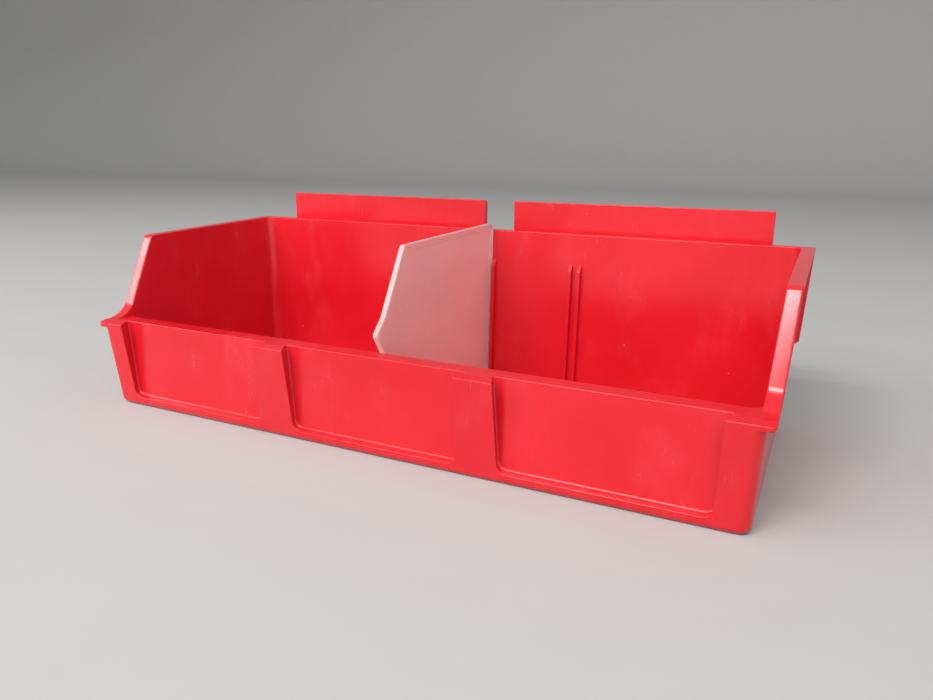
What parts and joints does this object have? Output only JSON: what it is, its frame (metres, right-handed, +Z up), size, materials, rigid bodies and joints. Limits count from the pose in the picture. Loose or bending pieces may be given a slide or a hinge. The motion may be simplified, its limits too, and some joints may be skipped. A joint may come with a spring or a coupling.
{
  "type": "hanging parts bin",
  "caption": "Wide open-front plastic parts bin that hooks behind a slat of a tool wall, with label recesses along its front and a lift-out frosted divider.",
  "frame": {"origin": "on the wall's front plane, midway across the bin, at the lower edge of the groove that the bin hangs in", "axes": "+X across the bin to its right as seen from the front, +Y into the wall, +Z up"},
  "size_m": [0.223, 0.0972, 0.07],
  "materials": {
    "bin_red": "injection-moulded red polypropylene, semi-gloss",
    "divider_frost": "injection-moulded natural polypropylene, frosted and translucent"
  },
  "bodies": {
    "bin": {"bin_body": "bin_red"},
    "divider": {"divider": "divider_frost"}
  },
  "joints": [
    {"name": "divider_lift", "type": "slide", "parent": "bin", "child": "divider", "axis": [0, 0, 1], "range_m": [0, 0.065]}
  ]
}
